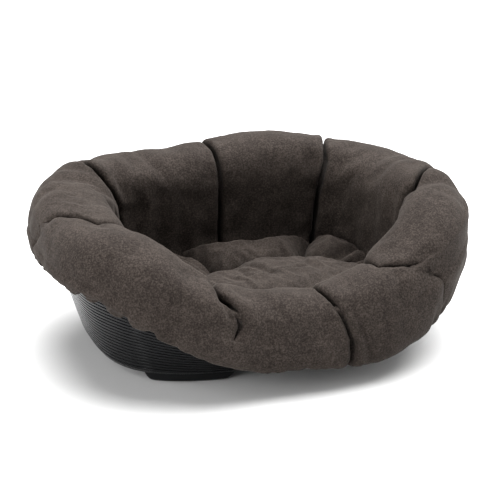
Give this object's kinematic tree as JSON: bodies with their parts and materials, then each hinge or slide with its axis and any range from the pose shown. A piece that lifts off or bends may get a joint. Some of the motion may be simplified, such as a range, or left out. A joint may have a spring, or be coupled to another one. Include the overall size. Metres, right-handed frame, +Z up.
{
  "type": "pet bed",
  "caption": "Oval ribbed plastic pet bed tub on feet with a low front entry and a padded plush cover that lifts off over its rim.",
  "frame": {"origin": "on the floor under the middle of the bed's overall plan", "axes": "+X to the right along the bed's length, +Y to the back, +Z up; the low entry faces -Y"},
  "size_m": [0.642, 0.502, 0.237],
  "materials": {
    "tub_plastic": "gloss",
    "grip_rubber": "matte",
    "plush": "matte",
    "fibre_fill": "matte",
    "lining_fabric": "matte",
    "hem_elastic": "matte"
  },
  "bodies": {
    "tub": {"tub_shell": "tub_plastic", "foot_front_left": "tub_plastic", "foot_front_right": "tub_plastic", "foot_rear_left": "tub_plastic", "foot_rear_right": "tub_plastic", "grip_front_left": "grip_rubber", "grip_front_right": "grip_rubber", "grip_rear_left": "grip_rubber", "grip_rear_right": "grip_rubber"},
    "cover": {"panel_front": "plush", "panel_front_right": "plush", "panel_right": "plush", "panel_back_right": "plush", "panel_back": "plush", "panel_back_left": "plush", "panel_left": "plush", "panel_front_left": "plush", "fill_front": "fibre_fill", "fill_front_right": "fibre_fill", "fill_right": "fibre_fill", "fill_back_right": "fibre_fill", "fill_back": "fibre_fill", "fill_back_left": "fibre_fill", "fill_left": "fibre_fill", "fill_front_left": "fibre_fill", "seat_back": "plush", "seat_back_right": "plush", "seat_front_right": "plush", "seat_front": "plush", "seat_front_left": "plush", "seat_back_left": "plush", "seat_fill_back": "fibre_fill", "seat_fill_back_right": "fibre_fill", "seat_fill_front_right": "fibre_fill", "seat_fill_front": "fibre_fill", "seat_fill_front_left": "fibre_fill", "seat_fill_back_left": "fibre_fill", "cover_lining": "lining_fabric", "cover_skirt": "plush", "hem_casing": "plush", "hem_elastic": "hem_elastic"}
  },
  "joints": [
    {"name": "cover_lift", "type": "slide", "parent": "tub", "child": "cover", "axis": [0, 0, 1], "range_m": [0, 0.25], "deforming": ["cover_skirt", "hem_casing", "hem_elastic"]}
  ]
}
